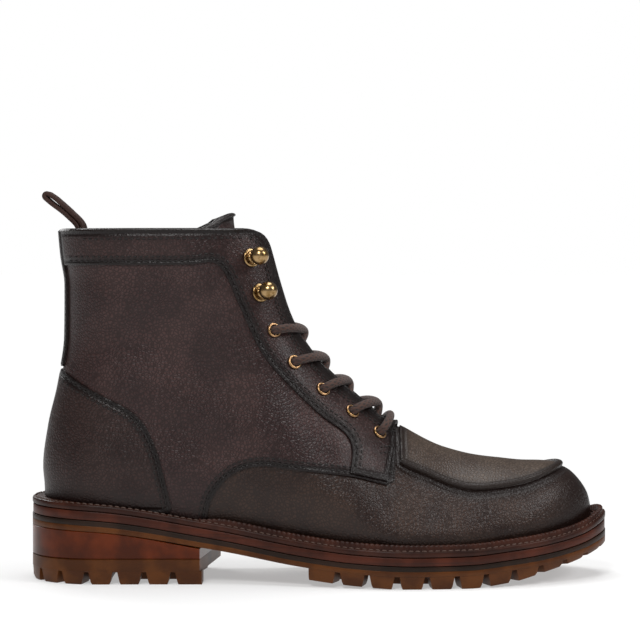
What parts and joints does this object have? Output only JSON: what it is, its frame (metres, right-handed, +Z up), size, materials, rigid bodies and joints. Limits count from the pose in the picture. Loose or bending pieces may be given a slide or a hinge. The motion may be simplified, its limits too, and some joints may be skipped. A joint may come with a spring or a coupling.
{
  "type": "lace up ankle boot",
  "caption": "Lace up ankle boot with a raised apron toe, lace eyelets and ball hooks, a stitched welt, a block heel and a lugged sole.",
  "frame": {"origin": "on the floor at the middle of the boot's length and breadth, under the bounding box", "axes": "+X towards the toe, +Y towards the wearer's other foot, +Z up"},
  "size_m": [0.304, 0.1079, 0.2034],
  "materials": {
    "apron_leather": "grey brown oiled leather, burnished rim",
    "counter_leather": "oiled dark brown leather, burnished",
    "eyelet_brass": "rolled brass ring, polished",
    "facing_leather": "oiled dark brown leather, stitched edges",
    "heel_rubber": "red brown rubber, slightly see-through, moulded",
    "hook_brass": "turned brass ball on a ring base, polished",
    "insole_leather": "plain tan leather",
    "lace_cord": "round braided brown cord, waxed",
    "loop_leather": "brown folded leather strap",
    "lug_rubber": "moulded brown rubber, satin",
    "midsole_board": "dark brown layer, trimmed and waxed edge",
    "shaft_leather": "oiled dark brown leather, fine grain",
    "vamp_leather": "oiled brown leather, darker at the toe",
    "welt_leather": "dark leather strip, ribbed and stitched"
  },
  "bodies": {
    "root": {"apron": "apron_leather", "backstay": "counter_leather", "eyelet_inner_1": "eyelet_brass", "eyelet_inner_2": "eyelet_brass", "eyelet_inner_3": "eyelet_brass", "eyelet_inner_4": "eyelet_brass", "eyelet_inner_5": "eyelet_brass", "eyelet_outer_1": "eyelet_brass", "eyelet_outer_2": "eyelet_brass", "eyelet_outer_3": "eyelet_brass", "eyelet_outer_4": "eyelet_brass", "eyelet_outer_5": "eyelet_brass", "facing_inner": "facing_leather", "facing_outer": "facing_leather", "heel_block": "heel_rubber", "heel_counter": "counter_leather", "heel_lift": "lug_rubber", "hook_inner_1": "hook_brass", "hook_inner_2": "hook_brass", "hook_outer_1": "hook_brass", "hook_outer_2": "hook_brass", "insole": "insole_leather", "lace": "lace_cord", "midsole": "midsole_board", "outsole": "lug_rubber", "pull_loop": "loop_leather", "quarter": "shaft_leather", "tongue": "shaft_leather", "upper": "vamp_leather", "welt": "welt_leather"}
  },
  "joints": []
}
